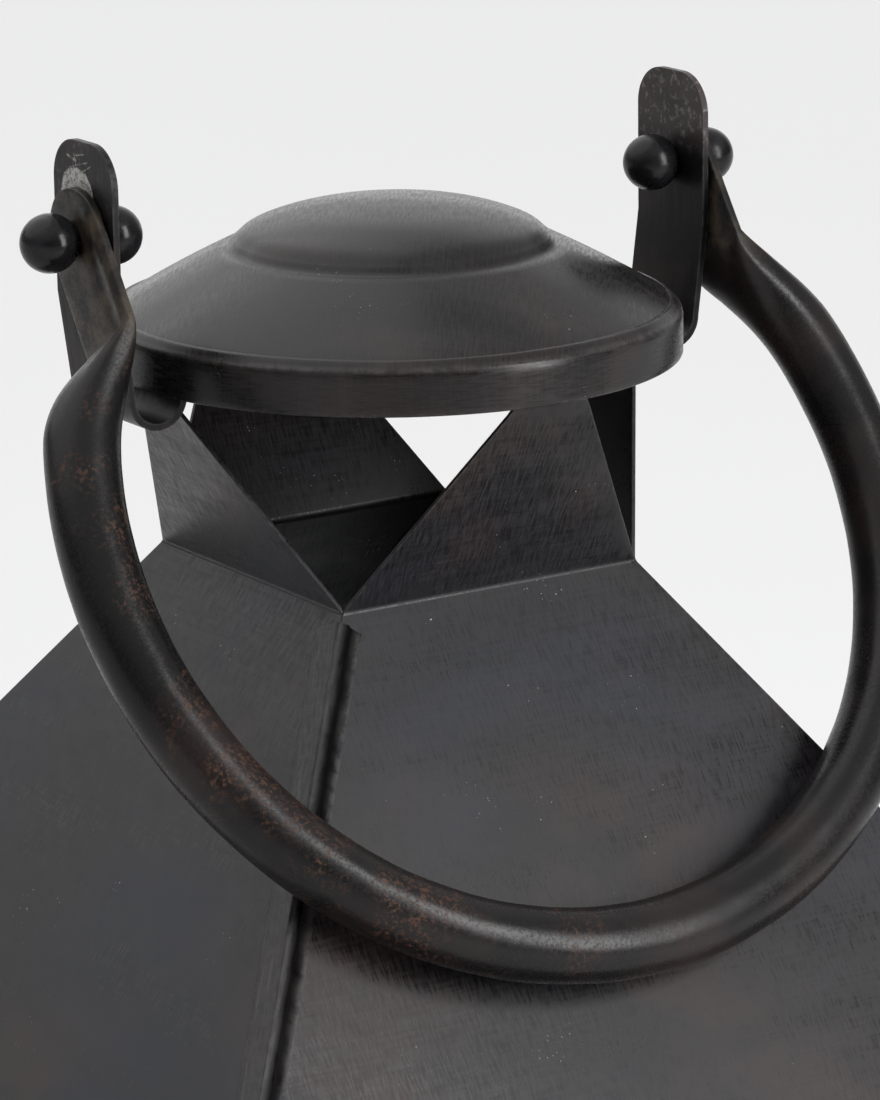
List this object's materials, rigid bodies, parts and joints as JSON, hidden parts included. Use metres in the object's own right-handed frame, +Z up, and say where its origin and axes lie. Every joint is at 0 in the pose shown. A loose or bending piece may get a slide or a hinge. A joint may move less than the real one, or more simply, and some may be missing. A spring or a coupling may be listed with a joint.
{
  "type": "candle lantern",
  "caption": "Square glazed candle lantern with a folded pyramid roof, round vent cap, hinged door and a folding ring handle on ball-ended pivots.",
  "frame": {"origin": "on the ground, under the middle of the lantern's body", "axes": "+Z up; the door faces -Y; the handle's pivot pins lie along X, and the handle is folded down over the front of the roof"},
  "size_m": [0.26, 0.26, 0.5147],
  "materials": {
    "roof_sheet": "waxed black patina on brushed sheet steel, satin",
    "cap_sheet": "waxed black patina on spun steel, semi-gloss",
    "handle_tube": "waxed black patina on steel tube, semi-gloss, specks of rust",
    "strap_steel": "waxed black patina on flat bar, satin, scratched at the top",
    "ball_steel": "waxed black patina on steel balls, gloss",
    "frame_steel": "waxed black patina on folded sheet steel, satin",
    "plain_steel": "bare steel nuts, satin",
    "clear_glass": "clear window glass, polished",
    "candle_wax": "ivory wax, soft satin",
    "cotton_wick": "braided cotton, matt"
  },
  "bodies": {
    "lantern": {"base_tray": "frame_steel", "ball_feet": "frame_steel", "foot_nuts": "plain_steel", "sill_frame": "frame_steel", "head_frame": "frame_steel", "eave_plate": "frame_steel", "corner_post_front_left": "frame_steel", "corner_post_front_right": "frame_steel", "corner_post_back_left": "frame_steel", "corner_post_back_right": "frame_steel", "base_rivets": "frame_steel", "head_rivets": "frame_steel", "eave_rivets": "frame_steel", "glass_back": "clear_glass", "glass_left": "clear_glass", "glass_right": "clear_glass", "glass_clips_back": "frame_steel", "glass_clips_left": "frame_steel", "glass_clips_right": "frame_steel", "roof_panel_front": "roof_sheet", "roof_panel_back": "roof_sheet", "roof_panel_left": "roof_sheet", "roof_panel_right": "roof_sheet", "ridge_seam_front_left": "roof_sheet", "ridge_seam_back_right": "roof_sheet", "vent_cap": "cap_sheet", "handle_strap_left": "strap_steel", "handle_strap_right": "strap_steel", "strap_rivet_left": "frame_steel", "strap_rivet_right": "frame_steel", "pivot_pin_left": "ball_steel", "pivot_pin_right": "ball_steel", "pivot_ball_left": "ball_steel", "pivot_ball_right": "ball_steel", "post_knuckles": "frame_steel", "hinge_pin_lower": "frame_steel", "hinge_pin_upper": "frame_steel", "candle_plate": "frame_steel", "candle_spike": "frame_steel"},
    "handle": {"ring_handle": "handle_tube"},
    "door": {"door_frame": "frame_steel", "door_glass": "clear_glass", "door_glass_clips": "frame_steel", "door_knuckles": "frame_steel"},
    "latch": {"latch_knob": "ball_steel", "latch_tongue": "frame_steel"},
    "candle": {"pillar_candle": "candle_wax", "candle_wick": "cotton_wick"}
  },
  "joints": [
    {"name": "handle_swing", "type": "hinge", "parent": "lantern", "child": "handle", "pos_m": [0, 0, 0.49412], "axis": [-1, 0, 0], "range_deg": [0, 292.47]},
    {"name": "door_swing", "type": "hinge", "parent": "lantern", "child": "door", "pos_m": [-0.1085, -0.1158, 0.15], "axis": [0, 0, -1], "range_deg": [0, 170]},
    {"name": "latch_turn", "type": "hinge", "parent": "door", "child": "latch", "pos_m": [0.0895, -0.114, 0.15], "axis": [0, -1, 0], "range_deg": [0, 90]},
    {"name": "candle_lift", "type": "slide", "parent": "lantern", "child": "candle", "axis": [0, 0, 1], "range_m": [0, 0.03]}
  ]
}
